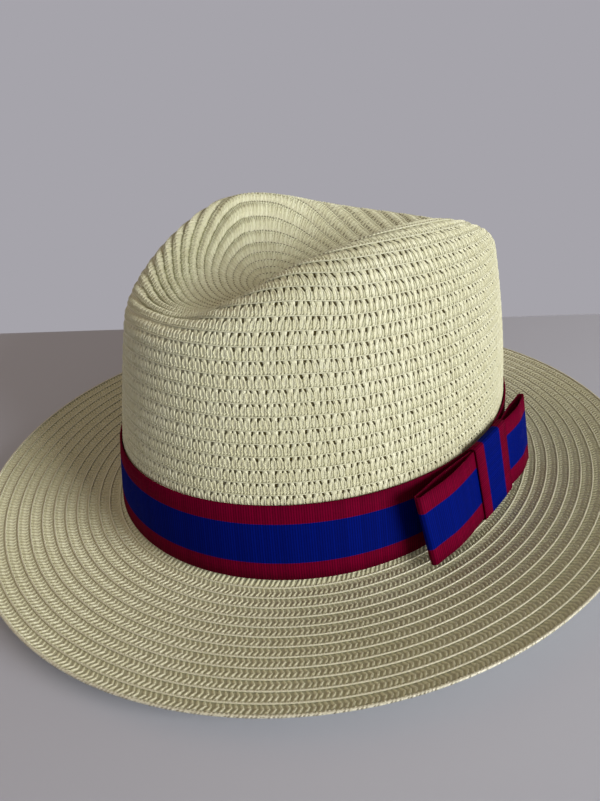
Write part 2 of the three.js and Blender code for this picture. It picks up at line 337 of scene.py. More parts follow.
def brim_path(angle):
    """Points from the brim's edge to the crown's foot, with their row numbers."""
    foot = wall_point(angle, 0.0, -STRAW_INSET)
    radius = 1 / np.hypot(np.cos(angle) / BRIM_HALF_LENGTH, np.sin(angle) / BRIM_HALF_WIDTH)
    edge = np.array([
        radius * np.cos(angle), radius * np.sin(angle),
        BRIM_EDGE_HEIGHT + EDGE_ENDS * np.cos(2 * angle) + EDGE_TWIST * np.sin(2 * angle)
        + EDGE_FRONT * np.cos(angle) + EDGE_LEFT * np.sin(angle)])
    outward = edge[:2] - foot[:2]
    width = np.hypot(*outward)
    outward /= width
    far = np.linspace(width, 0, BRIM_POINTS)[:-1]
    flat_end = BREAK_WIDTH + BRIM_FLAT
    curl = np.clip((far - flat_end) / (width - flat_end), 0, None) ** BRIM_CURL
    turn = np.arcsin(np.clip(1 - far / BREAK_WIDTH, 0, 1))
    z = STRAW + (edge[2] - STRAW) * curl + (foot[2] - STRAW) * (1 - np.cos(turn))
    rows = np.where(
        far > FIRST_BRIM_LINE,
        BRIM_STARTS - BRIM_ROWS * (far - FIRST_BRIM_LINE) / (width - FIRST_BRIM_LINE),
        -ROWS_UNDER_RIBBON - (-BRIM_STARTS - ROWS_UNDER_RIBBON) * far / FIRST_BRIM_LINE)
    return np.column_stack([foot[0] + outward[0] * far, foot[1] + outward[1] * far, z]), rows


print("rows run from", ROW_AT_EDGE, "at the brim's edge to", ROWS_TO_BUTTON, "at the button")

# %% Rows over the crown
RIBBON_POINTS, WALL_POINTS, CAP_POINTS, DENT_POINTS = 12, 50, 14, 90
DENT_SPACING = 1.3    # above 1 the points crowd together near the ridge
RIDGE_CROWDING = 0.7  # rows are stretched wide just inside the ridge


def crown_path(angle):
    """Points from the crown's foot to the button, with their row numbers."""
    wall_top = around_table(RIDGE_LEFT, RIDGE_RIGHT, angle) - CAP_UP
    heights = np.concatenate([
        np.linspace(0, RIBBON_WIDTH, RIBBON_POINTS)[:-1],
        np.linspace(RIBBON_WIDTH, wall_top, WALL_POINTS)])
    wall = wall_point(angle, heights, -STRAW_INSET)
    top, below = wall[-1], wall_point(angle, wall_top - 1, -STRAW_INSET)
    lean = np.hypot(*(top - below)[:2]) / (top[2] - below[2])
    inward = BUTTON[:2] - top[:2]
    reach = np.hypot(*inward)
    inward /= reach
    # a quarter turn over the ridge, then the dent's side and its floor
    u = np.pi / 2 * np.arange(1, CAP_POINTS + 1) / CAP_POINTS
    cap_inset = CAP_IN * (1 - np.cos(u)) + lean * CAP_UP * np.sin(u) * np.cos(u)
    q = (np.arange(1, DENT_POINTS + 1) / DENT_POINTS) ** DENT_SPACING
    sunk = (1 + DISH**2) * q**2 / (q**2 + DISH**2)
    ridge = top[2] + CAP_UP
    inset = np.concatenate([cap_inset, CAP_IN + (reach - CAP_IN) * q])
    top_z = np.concatenate([top[2] + CAP_UP * np.sin(u), ridge + (BUTTON[2] - ridge) * sunk])
    crown = np.vstack([wall, np.column_stack([
        top[0] + inward[0] * inset, top[1] + inward[1] * inset, top_z])])
    length = length_along(crown)
    at_ribbon, at_ridge = length[RIBBON_POINTS - 1], length[len(wall) + CAP_POINTS - 1]
    rows = around_table(ROWS_LEFT, ROWS_RIGHT, angle)
    past = (length - at_ridge) / (length[-1] - at_ridge)
    up_side = rows * (length - at_ribbon) / (at_ridge - at_ribbon)
    into_dent = rows + (ROWS_TO_BUTTON - rows) * past * (
        RIDGE_CROWDING + (1 - RIDGE_CROWDING) * past)
    under_ribbon = ROWS_UNDER_RIBBON * (length / at_ribbon - 1)
    return crown, np.where(length < at_ribbon, under_ribbon,
                           np.where(length < at_ridge, up_side, into_dent))


print("path up the front of the crown:", len(crown_path(0.0)[0]), "points")

# %% [markdown]
# The surface is stored as a grid: rings of equal n, each cut into equal lengths, starting at
# the back. With it go the direction that points out of the hat, and the real length of each
# lap.

# %% The surface as a grid
ANGLES = 720
COLUMNS = 288
STEPS_PER_ROW = 8
POINT_LIKE = 1e-6  # mm; the ring at the button has no length

row_numbers = np.linspace(
    ROW_AT_EDGE, ROWS_TO_BUTTON,
    round((ROWS_TO_BUTTON - ROW_AT_EDGE) * STEPS_PER_ROW) + 1)
start_at_back = math.pi + np.linspace(0, 2 * math.pi, ANGLES, endpoint=False)
by_angle = np.empty((len(row_numbers), ANGLES, 3))
for i, angle in enumerate(start_at_back):
    points, numbers = map(np.concatenate, zip(brim_path(angle), crown_path(angle)))
    for axis in range(3):
        by_angle[:, i, axis] = np.interp(row_numbers, numbers, points[:, axis])

surface = np.empty((len(row_numbers), COLUMNS, 3))
surface_angle = np.empty((len(row_numbers), COLUMNS))
lap_mm = np.empty(len(row_numbers))
full_turn = np.concatenate([start_at_back, [3 * math.pi]])
for j, ring in enumerate(by_angle):
    round_again = np.vstack([ring, ring[:1]])
    length = length_along(round_again)
    lap_mm[j] = length[-1]
    even = np.linspace(0, length[-1], COLUMNS, endpoint=False)
    if length[-1] < POINT_LIKE:
        even, length = np.arange(COLUMNS) / COLUMNS, np.linspace(0, 1, ANGLES + 1)
    for axis in range(3):
        surface[j, :, axis] = np.interp(even, length, round_again[:, axis])
    surface_angle[j] = np.interp(even, length, full_turn)

step_along = np.roll(surface, -1, axis=1) - np.roll(surface, 1, axis=1)
step_across = np.gradient(surface, axis=0)
surface_out = np.cross(step_along, step_across)
surface_out[-2:] = (0, 0, 1)
surface_out /= np.maximum(np.linalg.norm(surface_out, axis=2, keepdims=True), 1e-12)
print("surface grid", surface.shape, "brim lap", round(lap_mm[0]), "mm")

# %% [markdown]
# ## How the braid was worked
#
# The same braid looks different from place to place, because of how the hat was blocked.
# Three fields on the grid, each from 0 to 1, say what was done at every point:
#
# - rolled: at the pinch, in front on the right, the rows were folded over the ridge and
#   stand in rolls.
# - ironed: inside the dent the braid was pressed flat. At the back right this starts some
#   rows before the ridge and is weaker, and at the back the braid stays looser.
# - shut: the small slits between the strands are closed in the dent, at the pinch, and all
#   down the right of the front, where the braid was sewn tight.
#
# Each is made of smooth steps: some over the rows past the ridge, some around the hat.

# %% Rolled, ironed and shut
# rows past the ridge where each treatment begins and is complete
ROLLS_RISE, ROLLS_FADE = (-1.2, 0.3), (1.5, 6.0)
IRONING, SHUTTING, PINCH_SHUTTING = (-0.5, 0.9), (-0.5, 0.6), (-2.6, -1.0)
# degrees around the hat from the front, and the cosines between which each place fades in
PINCHED, TIGHT = (-40, 0.15, 0.85), (-48, 0.1, 0.9)
LOOSE, EARLY = (172, 0.55, 0.95), (215, 0.5, 0.9)
ROLLS_ELSEWHERE = 0.03  # how much of the rolls is left away from the pinch
EARLY_ROWS = 3.0        # at the back right the ironing starts this many rows earlier
# how much less the braid is ironed: in the rolls, per early row, and where it is loose
ROLLS_KEEP, EARLY_KEEP, LOOSE_KEEP = 0.85, 0.2, 0.75
# how much of the slits stays open where it is loose, and is shut where it is tight
LOOSE_SLITS, TIGHT_SHUT = 0.6, 0.85


def smooth_step(low, high, value):
    t = np.clip((value - low) / (high - low), 0, 1)
    return t * t * (3 - 2 * t)


def near_angle(degrees, low, high):
    """1 around an angle of the hat, fading to 0 away from it."""
    return smooth_step(low, high, np.cos(surface_angle - math.radians(degrees)))


pinched, tight, loose = near_angle(*PINCHED), near_angle(*TIGHT), near_angle(*LOOSE)
early = EARLY_ROWS * near_angle(*EARLY)
past_ridge = row_numbers[:, None] - around_table(ROWS_LEFT, ROWS_RIGHT, surface_angle)
rolled = (smooth_step(*ROLLS_RISE, past_ridge) * (1 - smooth_step(*ROLLS_FADE, past_ridge))
          * (ROLLS_ELSEWHERE + (1 - ROLLS_ELSEWHERE) * pinched))
ironed = (smooth_step(*IRONING, past_ridge + early) * (1 - ROLLS_KEEP * rolled)
          * (1 - EARLY_KEEP * early) * (1 - LOOSE_KEEP * loose))
shut = np.maximum.reduce([
    smooth_step(*SHUTTING, past_ridge + early) * (1 - LOOSE_SLITS * loose),
    smooth_step(*PINCH_SHUTTING, past_ridge) * pinched, TIGHT_SHUT * tight])
for name, field in (("rolled", rolled), ("ironed", ironed), ("shut", shut)):
    print(name, "over", round(100 * float((field > 0.5).mean())), "% of the grid")

# %% [markdown]
# ## The backing of the braid
#
# Each row laps over the outer row below it, as roof shingles do. The backing is the part of
# the braid that lies flat: a closed shell whose outside steps once a row. In the upper half
# of a row the real braid is open, so the shell sinks there and is marked with painted shade
# for the material to darken, standing for the shaded inside of the hat seen between strands.

# %% Backing profile
# share of the row's width, height in mm from the hat's smooth surface, and the share of
# painted shade there, for the slits and the deep parts of a row
CROWN_PROFILE = ((0.00, -0.95, 0.0), (0.10, -0.70, 0.0), (0.54, -0.68, 0.0),
                 (0.62, -1.00, 1.0), (0.96, -1.12, 1.0))
BRIM_PROFILE = ((0.00, -0.92, 0.0), (0.10, -0.70, 0.15), (0.50, -0.68, 0.3),
                (0.62, -0.74, 0.35), (0.96, -0.86, 0.35))
SHUT_LEVEL = -0.72                 # height of the backing where the slits are shut
ROLL_DEPTH, ROLL_CREST = 2.0, 0.3  # depth of the grooves, share of it that the rolls rise
ROLL_SHARP = 3.2                   # the higher, the narrower the grooves
IRONED_BACKING, IRONED_GROOVE = -0.66, 0.14
IRONED_EDGE = 20.0  # a high power keeps the groove between ironed rows narrow


def backing_relief(height, iron, shut_here, roll, share):
    """Height in mm after ironing inside the dent and rolling over the ridge."""
    edge = np.abs(2 * share - 1)
    height = height + (SHUT_LEVEL - height) * shut_here
    flat = IRONED_BACKING - IRONED_GROOVE * edge**IRONED_EDGE
    rolls = ROLL_DEPTH * roll * (edge**ROLL_SHARP - ROLL_CREST)
    return height + (flat - height) * iron - rolls


print("one row of the crown:", len(CROWN_PROFILE), "steps")

# %% Rings of the backing
BACKING_STEP = 3  # the backing takes every third column of the grid
UNDER_RIBBON = range(-6, 0)  # the rows that the ribbon hides are flat, at this level
UNDER_RIBBON_LEVEL = -1.0
LAST_RING = ROWS_TO_BUTTON - 0.25  # nothing steps nearer to the button than this
INNER_PROFILE = ((0.9, STRAW), (0.1, STRAW - 0.15))  # share of the row, depth in mm
INNER_ROLL = 0.8  # how far the inside follows the rolls, in mm


def on_surface(field, number):
    """A ring of a surface field at any row number."""
    # just short of the last ring, so that there is always a next one
    place = np.clip((number - ROW_AT_EDGE) * STEPS_PER_ROW, 0, len(row_numbers) - 1.001)
    low = int(place)
    t = place - low
    return (field[low] * (1 - t) + field[low + 1] * t)[::BACKING_STEP]


first_row = round(ROW_AT_EDGE + EDGE_PHASE)
outer_rings, inner_rings, slit_shade_marks = [], [], []
for k in range(first_row, ROWS_TO_BUTTON):
    for share, height, slit in CROWN_PROFILE if k >= 0 else BRIM_PROFILE:
        n = k - EDGE_PHASE + share
        if n > LAST_RING:
            continue
        if k in UNDER_RIBBON:
            height = UNDER_RIBBON_LEVEL
        iron, roll, shut_here = (on_surface(field, n) for field in (ironed, rolled, shut))
        lift = backing_relief(height, iron, shut_here, roll, share)
        outer_rings.append(
            on_surface(surface, n) + on_surface(surface_out, n) * lift[:, None])
        slit_shade_marks.append(slit * (1 - shut_here))
for k in range(ROWS_TO_BUTTON - 1, first_row - 1, -1):
    for share, depth in INNER_PROFILE:
        n = max(k - EDGE_PHASE + share, ROW_AT_EDGE)
        sunk = depth + INNER_ROLL * on_surface(rolled, n)
        inner_rings.append(on_surface(surface, n) - on_surface(surface_out, n) * sunk[:, None])
print("rings outside", len(outer_rings), "and inside", len(inner_rings))

# %% [markdown]
# The rings are joined into one closed shell: down the outside, round the brim's edge and up
# the inside. Both skins end in a fan around a middle point at the button. Nothing may go
# below the table, so the lowest points are raised to it.

# %% Backing shell
MIDDLE_DEPTHS = (0.7, STRAW)  # mm below the button, outside and inside

around = len(outer_rings[0])
rings = outer_rings + inner_rings
next_column = [(i + 1) % around for i in range(around)]
faces = []
for j in range(len(rings)):
    if j == len(outer_rings) - 1:
        continue  # both skins are closed at the button instead
    low, high = j * around, (j + 1) % len(rings) * around
    faces += [(low + i, low + k, high + k, high + i) for i, k in enumerate(next_column)]
last_outer, first_inner = (len(outer_rings) - 1) * around, len(outer_rings) * around
outer_middle = len(rings) * around
for i, k in enumerate(next_column):
    faces.append((last_outer + i, last_outer + k, outer_middle))
    faces.append((first_inner + k, first_inner + i, outer_middle + 1))
vertices = np.concatenate(rings + [[BUTTON - (0, 0, depth) for depth in MIDDLE_DEPTHS]])
vertices[:, 2] = np.maximum(vertices[:, 2], 0)
backing = link_mesh("straw_backing", vertices * MM, faces)
# painted shade of the slits, on the outer skin only
slit_shade_per_point = np.zeros(len(vertices))
slit_shade_per_point[:last_outer + around] = np.concatenate(slit_shade_marks)
store(backing, "slit", slit_shade_per_point)
print("backing", len(faces), "faces,", around, "columns")

# %% [markdown]
# ## The stitches of the braid
#
# Across every row run flat twisted strands of paper, bound at the row's outer edge by a
# plied thread. On the side of the crown the strands lean in pairs, first one way and then
# the other, with small slits between them, and two raised legs of yarn stand on each. On
# the brim a raised strand slants out and a lower one slants back, like a V on its side.
#
# Each stitch is a small mesh of a few dozen faces, drawn on flat squared paper: x is the
# distance along the row, y is the share of the row's width and z is the height over the
# hat's smooth surface.

# %% A strip and a bead
ROW_MM = 4.9      # the width of a row that shows
STRIP_TOP = 0.35  # share of a strip's width that is flat on top


class StitchMesh:
    """Small closed strips and beads that make up one stitch."""

    def __init__(self):
        self.points, self.faces, self.smooth = [], [], []
        self.around, self.along = [], []  # the place on the yarn, for its twist

    def strip(self, stations):
        """A flat strip through (x mm, y share, z mm, half width mm, half thickness mm)."""
        first = len(self.points)
        for x, share, z, half, thick in stations:
            for side_x, side_z in ((-STRIP_TOP, 1), (-1, -1), (1, -1), (STRIP_TOP, 1)):
                self.points.append((
                    (x + half * side_x) * MM, share, (z + thick * side_z) * MM))
                self.around.append(0.25 + 0.25 * side_x)
                self.along.append((x + share * ROW_MM) * MM)
        for j in range(len(stations) - 1):
            low, high = first + j * 4, first + (j + 1) * 4
            for i in range(4):
                k = (i + 1) % 4
                self.faces.append((low + i, high + i, high + k, low + k))
        last = first + (len(stations) - 1) * 4
        self.faces.append((first, first + 1, first + 2, first + 3))
        self.faces.append((last + 3, last + 2, last + 1, last))
        self.smooth += [False] * (4 * len(stations) - 2)

    def bead(self, x, share, z, reach_x, reach_share, thick):
        """A short grain of thread along a slant, pointed at both ends."""
        first = len(self.points)
        slant = math.atan2(reach_share * ROW_MM, reach_x)
        side_x, side_y = -math.sin(slant) * thick, math.cos(slant) * thick / ROW_MM
        for dx, dy, dz in ((-reach_x, -reach_share, 0), (side_x, side_y, 0), (0, 0, thick),
                           (-side_x, -side_y, 0), (0, 0, -thick), (reach_x, reach_share, 0)):
            self.points.append(((x + dx) * MM, share + dy, (z + dz) * MM))
        for i in range(4):
            k = (i + 1) % 4
            self.faces.append((first, first + 1 + k, first + 1 + i))
            self.faces.append((first + 5, first + 1 + i, first + 1 + k))
        self.smooth += [True] * 8
        self.around += [0.5] * 6
        self.along += [x * MM] * 6


print("a row shows", ROW_MM, "mm of braid")


# %% A whole stitch
def stitch_unit(name, collection, strips, beads):
    """The strips of one stitch with their share of the binding thread."""
    unit = StitchMesh()
    for stations in strips:
        unit.strip(stations)
    for count, pitch, *rest in beads:
        for number in range(count):
            unit.bead((number - (count - 1) / 2) * pitch, *rest)
    made = link_mesh(
        name, unit.points, unit.faces, smooth=unit.smooth, collection=collection)
    store(made, "around", unit.around)
    store(made, "along", unit.along)
    print(name, len(unit.faces), "faces")


# %% [markdown]
# Four versions of each stitch are made, and the rows take them in turn, so the pairs lean
# as the real ones do and no two neighbours are the same.

# %% Strands of the crown
CROWN_PITCH = 2.42  # mm from stitch to stitch
LEAN = 0.7          # how far a strand's edge leans over the row's upper part, in mm
LEAN_STARTS = 0.4   # share of the row where the strands begin to lean
LEAN_BACK = 0.3     # share of the lean that goes the other way first
STRAND_BOW = 0.15   # mm
# share of the row, half width, height of the middle, half thickness, in mm
CROWN_STRAND = ((0.02, 1.12, -0.64, 0.11), (0.50, 1.18, -0.57, 0.12),
                (0.64, 0.88, -0.60, 0.17), (1.06, 0.80, -1.06, 0.16))
# number, pitch, share, height, reach along, reach across, half thickness
CROWN_BEADS = ((2, 1.21, 0.13, -0.46, 0.70, 0.14, 0.40),)
# the legs: mm from the stitch's middle, how far they bow out, share of the lean they follow
LEG_AT, LEG_BOW, LEG_LEAN = 0.62, 0.24, 0.2


def leaning_strand(lean_left, lean_right):
    """One strand of the crown, whose two edges lean in the row's upper part."""
    stations = []
    for share, half, z, thick in CROWN_STRAND:
        leaning = max(share - LEAN_STARTS, 0) / (1 - LEAN_STARTS) - LEAN_BACK
        left, right = -half + lean_left * leaning, half + lean_right * leaning
        bowed = STRAND_BOW * (1 - (2 * share - 1) ** 2)
        stations.append(((left + right) / 2 + bowed, share, z, (right - left) / 2, thick))
    return stations


crown_strands = bpy.data.collections.new("crown_strands")
for number, (left, right) in enumerate(
        ((LEAN, LEAN), (LEAN, -LEAN), (-LEAN, -LEAN), (-LEAN, LEAN))):
    # mm along the row, share of the row, height, half width, half thickness in mm
    legs = [((side * LEG_AT, 0.18, -0.56, 0.34, 0.16),
             (side * (LEG_AT + LEG_BOW), 0.44, -0.32, 0.42, 0.30),
             (side * LEG_AT + LEG_LEAN * (left + right), 0.74, -0.56, 0.30, 0.16))
            for side in (-1, 1)]
    stitch_unit(f"crown_strand_{number}", crown_strands,
                [leaning_strand(left, right), *legs], CROWN_BEADS)

# %% Strands of the brim and the twists of its edge
BRIM_PITCH = 2.0
# how far the raised strand slants out and the lower one slants back, in mm
BRIM_SLANTS = ((0.60, 0.55), (0.72, 0.45), (0.52, 0.60), (0.66, 0.50))
EDGE_REACHES = (1.1, 0.9, 1.2, 1.0)  # of the twists that bind the edge, in mm
# number, pitch, share, height, reach along, reach across, half thickness, as on the crown
BRIM_BEADS = ((2, 1.00, 0.03, -0.27, 0.44, 0.05, 0.44),)

brim_strands = bpy.data.collections.new("brim_strands")
for number, (slant, back) in enumerate(BRIM_SLANTS):
    # mm along the row, share of the row, height, half width, half thickness in mm
    raised = ((-slant, 0.03, -0.58, 0.52, 0.18), (0, 0.30, -0.38, 0.66, 0.28),
              (slant, 0.60, -0.56, 0.54, 0.20))
    lower = ((slant, 0.50, -0.70, 0.55, 0.14), (0.1, 0.74, -0.64, 0.66, 0.16),
             (-back, 1.04, -0.90, 0.58, 0.12))
    stitch_unit(f"brim_strand_{number}", brim_strands, [raised, lower], BRIM_BEADS)
edge_twists = bpy.data.collections.new("edge_twists")
for number, reach in enumerate(EDGE_REACHES):
    stitch_unit(f"edge_twist_{number}", edge_twists, [],
                ((1, 0, 0.02, -0.25, reach, 0.16, 0.60),))

# %% [markdown]
# ## Laying flat work on the hat
#
# The surface grid becomes a helper mesh with a UV map that says which lap and row a point
# is. It runs a little past both ends of the lap, so a strand at the seam still finds a
# place. The direction out of the hat and the rolled and ironed fields are stored on it as
# attributes, for the node tree to read.

# %% Helper surface
MARGIN = 0.15  # share of a lap that the helper runs past the seam
extra = math.ceil(MARGIN * COLUMNS)
wanted = np.arange(-extra, COLUMNS + extra + 1)
columns = len(wanted)
grid_faces = [
    (a, a + 1, a + 1 + columns, a + columns)
    for j in range(len(row_numbers) - 1)
    for a in range(j * columns, (j + 1) * columns - 1)]
helper = link_mesh(
    "helper_surface", surface[:, wanted % COLUMNS].reshape(-1, 3) * MM, grid_faces)
store(helper, "out", surface_out[:, wanted % COLUMNS], "FLOAT_VECTOR")
store(helper, "ironed", ironed[:, wanted % COLUMNS])
store(helper, "rolled", rolled[:, wanted % COLUMNS])
map_u = (wanted + extra) / (columns - 1)
map_v = np.linspace(0, 1, len(row_numbers))
corner_uv = np.stack(np.meshgrid(map_u, map_v), -1).reshape(-1, 2)
corners = np.empty(len(helper.data.loops), int)
helper.data.loops.foreach_get("vertex_index", corners)
helper.data.uv_layers.new(name="place").data.foreach_set("uv", corner_uv[corners].reshape(-1))
print("helper surface", len(grid_faces), "faces")

# %% [markdown]
# The tree that lays flat work on the hat is used twice, for the stitches and for the
# threads, so it is a group. It turns lap and row into a place on the helper's UV map, and
# reads the surface point, the direction out of the hat and the two fields there.

# %% The place of a flat point
NAMED = "GeometryNodeInputNamedAttribute"
U_SCALE, U_START = COLUMNS / (columns - 1), extra / (columns - 1)
MAP_END = 0.0004  # the map is read just inside its two ends


def new_tree(name, inputs):
    tree = bpy.data.node_groups.new(name, "GeometryNodeTree")
    for label, kind in inputs:
        tree.interface.new_socket(label, in_out="INPUT", socket_type=f"NodeSocket{kind}")
    tree.interface.new_socket(
        "Geometry", in_out="OUTPUT", socket_type="NodeSocketGeometry")
    return tree, add_node(tree, "NodeGroupInput").outputs


lay, given = new_tree("lay_on_hat", (("Geometry", "Geometry"), ("Surface", "Object")))
position = add_node(lay, "GeometryNodeInputPosition")
flat = add_node(lay, "ShaderNodeSeparateXYZ", (position,)).outputs
row_span = ROWS_TO_BUTTON - ROW_AT_EDGE
lap_share = add_node(lay, MATH, (flat["X"], U_SCALE, U_START), operation="MULTIPLY_ADD")
row_share = add_node(
    lay, MATH, (flat["Y"], 1 / row_span, -ROW_AT_EDGE / row_span), operation="MULTIPLY_ADD")
row_inside = add_node(lay, "ShaderNodeClamp", {
    "Value": row_share, "Min": MAP_END, "Max": 1 - MAP_END})
map_place = add_node(lay, "ShaderNodeCombineXYZ", {"X": lap_share, "Y": row_inside})
surface_info = add_node(lay, "GeometryNodeObjectInfo", {"Object": given["Surface"]})
uv_map = add_node(lay, NAMED, {"Name": "place"}, data_type="FLOAT_VECTOR")
here = {}
for name, kind in (("position", "FLOAT_VECTOR"), ("out", "FLOAT_VECTOR"),
                   ("ironed", "FLOAT"), ("rolled", "FLOAT")):
    field = position if name == "position" else add_node(
        lay, NAMED, {"Name": name}, data_type=kind)
    here[name] = add_node(lay, "GeometryNodeSampleUVSurface", {
        "Mesh": surface_info.outputs["Geometry"], "Value": field,
        "Source UV Map": uv_map, "Sample UV": map_place}, data_type=kind)
print("the tree reads", sorted(here))

# %% [markdown]
# The height over the hat is the drawn one, pressed flat where the braid was ironed, with a
# narrow groove at the row's edges, and bent into rolls at the pinch. The backing follows
# the same rule, so the two stay together.

# %% The height of a flat point
# nothing is pressed from lower than the first height, and 0 lands on the second, in mm
IRONED_LOWEST, IRONED_LEVEL = -0.78, -0.29
IRONED_KEEP = 0.55  # how much of its relief the braid keeps where it was ironed
MANY_ROWS = 40      # makes every row number positive before its fraction is taken

from_edge = add_node(lay, MATH, (flat["Y"], MANY_ROWS + EDGE_PHASE), operation="ADD")
share = add_node(lay, MATH, (from_edge,), operation="FRACT")
centred = add_node(lay, MATH, (share, 2.0, -1.0), operation="MULTIPLY_ADD")
edge = add_node(lay, MATH, (centred,), operation="ABSOLUTE")
kept = add_node(lay, MATH, (flat["Z"], IRONED_LOWEST * MM), operation="MAXIMUM")
flattened = add_node(
    lay, MATH, (kept, IRONED_KEEP, IRONED_LEVEL * MM), operation="MULTIPLY_ADD")
at_edge = add_node(lay, MATH, (edge, IRONED_EDGE), operation="POWER")
edge_groove = add_node(lay, MATH, (at_edge, IRONED_GROOVE * MM), operation="MULTIPLY")
pressed = add_node(lay, MATH, (flattened, edge_groove), operation="SUBTRACT")
height = add_node(lay, MIX, {
    "Factor": here["ironed"], "A": flat["Z"], "B": pressed}, data_type="FLOAT")
bend = add_node(lay, MATH, (edge, ROLL_SHARP), operation="POWER")
groove = add_node(lay, MATH, (bend, ROLL_CREST), operation="SUBTRACT")
rolled_groove = add_node(lay, MATH, (groove, here["rolled"]), operation="MULTIPLY")
sunk = add_node(lay, MATH, (rolled_groove, -ROLL_DEPTH * MM), operation="MULTIPLY")
lift = add_node(lay, MATH, (height, sunk), operation="ADD")
print("height rule of", len(lay.nodes), "nodes so far")

# %% [markdown]
# Last, the point moves. What hangs over the brim's edge has no surface under it, so it goes
# on level and outwards. The share of the row and the ironed field are stored before the
# move, because they are worked out from the flat place.

# %% Moving the points
out_by = add_node(lay, MATH, (row_inside, row_share), operation="SUBTRACT")
beyond = add_node(lay, MATH, (out_by, row_span * ROW_MM * MM), operation="MULTIPLY")
level = add_node(lay, VECTOR_MATH, (here["position"], (1, 1, 0)), operation="MULTIPLY")
outwards = add_node(lay, VECTOR_MATH, (level,), operation="NORMALIZE")
overhang = add_node(
    lay, VECTOR_MATH, {0: outwards, "Scale": beyond}, operation="SCALE")
offset = add_node(lay, VECTOR_MATH, {0: here["out"], "Scale": lift}, operation="SCALE")
on_hat = add_node(lay, VECTOR_MATH, (here["position"], offset), operation="ADD")
placed = add_node(lay, VECTOR_MATH, (on_hat, overhang), operation="ADD")
marked = given["Geometry"]
for label, value in (("share", share), ("ironed", here["ironed"])):
    marked = add_node(lay, "GeometryNodeStoreNamedAttribute", {
        "Geometry": marked, "Name": label, "Value": value},
        data_type="FLOAT", domain="POINT")
moved = add_node(lay, "GeometryNodeSetPosition", {"Geometry": marked, "Position": placed})
add_node(lay, "NodeGroupOutput", {"Geometry": moved})
print("laying tree of", len(lay.nodes), "nodes")

# %% [markdown]
# Both trees that follow take rows as straight lines on the squared paper and start by
# cutting each row at even places. The last place of a lap is the first one again, so it is
# taken away. A thread also keeps how far along it each point is, for its twist.

# %% Cutting a row at even places
LAST_PLACE = 0.9999  # share of the row, so that only its very end is past it


def cut_rows(tree, given, lap, places, keeps_along):
    lines = add_node(tree, "GeometryNodeMeshToCurve", (given["Geometry"],))
    cut = add_node(tree, "GeometryNodeResampleCurve", {"Curve": lines, "Count": places})
    factor = add_node(tree, "GeometryNodeSplineParameter")
    if keeps_along:
        along = add_node(tree, MATH, (factor, lap), operation="MULTIPLY")
        cut = add_node(tree, "GeometryNodeStoreNamedAttribute", {
            "Geometry": cut, "Name": "along", "Value": along},
            data_type="FLOAT", domain="POINT")
    at_end = add_node(tree, MATH, (factor, LAST_PLACE), operation="GREATER_THAN")
    print(tree.name, "cuts its rows with", len(tree.nodes), "nodes so far")
    return add_node(tree, "GeometryNodeDeleteGeometry", {"Geometry": cut, "Selection": at_end})


# %% [markdown]
# The stitching tree cuts each row into a number of places that divides by four, so that the
# four versions of a stitch come round evenly. It puts a stitch at each place, with a little
# of the maker's unevenness, and lays it all on the hat.

# %% Stitching tree: the places
stitch, given = new_tree("stitch_rows", (
    ("Geometry", "Geometry"), ("Pitch", "Float"), ("Unevenness", "Float"),
    ("Strands", "Collection"), ("Surface", "Object"), ("Seed", "Int"),
    ("Material", "Material")))
VERSIONS = 4.0
UP_DOWN = 0.3  # share of the unevenness that goes across the row
# the limits of four random numbers a stitch: along, across, size and shade
LIMITS = ((-1.0, 1.0), (-UP_DOWN, UP_DOWN), (0.94, 1.08), (0.0, 1.0))

lap = add_node(stitch, NAMED, {"Name": "lap"}, data_type="FLOAT")
one_round = add_node(stitch, MATH, (given["Pitch"], VERSIONS), operation="MULTIPLY")
rounds = add_node(stitch, MATH, (lap, one_round), operation="DIVIDE")
whole = add_node(stitch, MATH, (rounds,), operation="ROUND")
at_least_one = add_node(stitch, MATH, (whole, 1.0), operation="MAXIMUM")
places = add_node(stitch, MATH, (at_least_one, VERSIONS, 1.0), operation="MULTIPLY_ADD")
open_rows = cut_rows(stitch, given, lap, places, keeps_along=False)
chances = []
for number, (low, high) in enumerate(LIMITS):
    seed = add_node(stitch, MATH, (given["Seed"], float(number)), operation="ADD")
    chances.append(add_node(stitch, "FunctionNodeRandomValue", {
        "Min": low, "Max": high, "Seed": seed}, data_type="FLOAT"))
print("stitches come in", int(VERSIONS), "versions")

# %% Stitching tree: the stitches
uneven_mm = add_node(stitch, MATH, (given["Pitch"], given["Unevenness"]), operation="MULTIPLY")
along_mm = add_node(stitch, MATH, (chances[0], uneven_mm), operation="MULTIPLY")
nudge = add_node(stitch, "ShaderNodeCombineXYZ", {
    "X": add_node(stitch, MATH, (along_mm, lap), operation="DIVIDE"),
    "Y": add_node(stitch, MATH, (chances[1], given["Unevenness"]), operation="MULTIPLY")})
nudged = add_node(stitch, "GeometryNodeSetPosition", {"Geometry": open_rows, "Offset": nudge})
strands = add_node(stitch, "GeometryNodeCollectionInfo", {
    "Collection": given["Strands"], "Separate Children": True, "Reset Children": True})
index = add_node(stitch, "GeometryNodeInputIndex")
# x counts laps on the squared paper, so a stitch is made that much smaller along it
size = add_node(stitch, "ShaderNodeCombineXYZ", {
    "X": add_node(stitch, MATH, (chances[2], lap), operation="DIVIDE"), "Y": 1.0, "Z": 1.0})
instances = add_node(stitch, "GeometryNodeInstanceOnPoints", {
    "Points": nudged, "Instance": strands, "Pick Instance": True,
    "Instance Index": add_node(stitch, MATH, (index, VERSIONS), operation="MODULO"),
    "Scale": size})
shaded = add_node(stitch, "GeometryNodeStoreNamedAttribute", {
    "Geometry": instances, "Name": "shade", "Value": chances[3]},
    data_type="FLOAT", domain="INSTANCE")
real = add_node(stitch, "GeometryNodeRealizeInstances", (shaded,))
laid = add_node(stitch, "GeometryNodeGroup", {
    "Geometry": real, "Surface": given["Surface"]}, node_tree=lay)
finished = add_node(stitch, "GeometryNodeSetMaterial", {
    "Geometry": laid, "Material": given["Material"]})
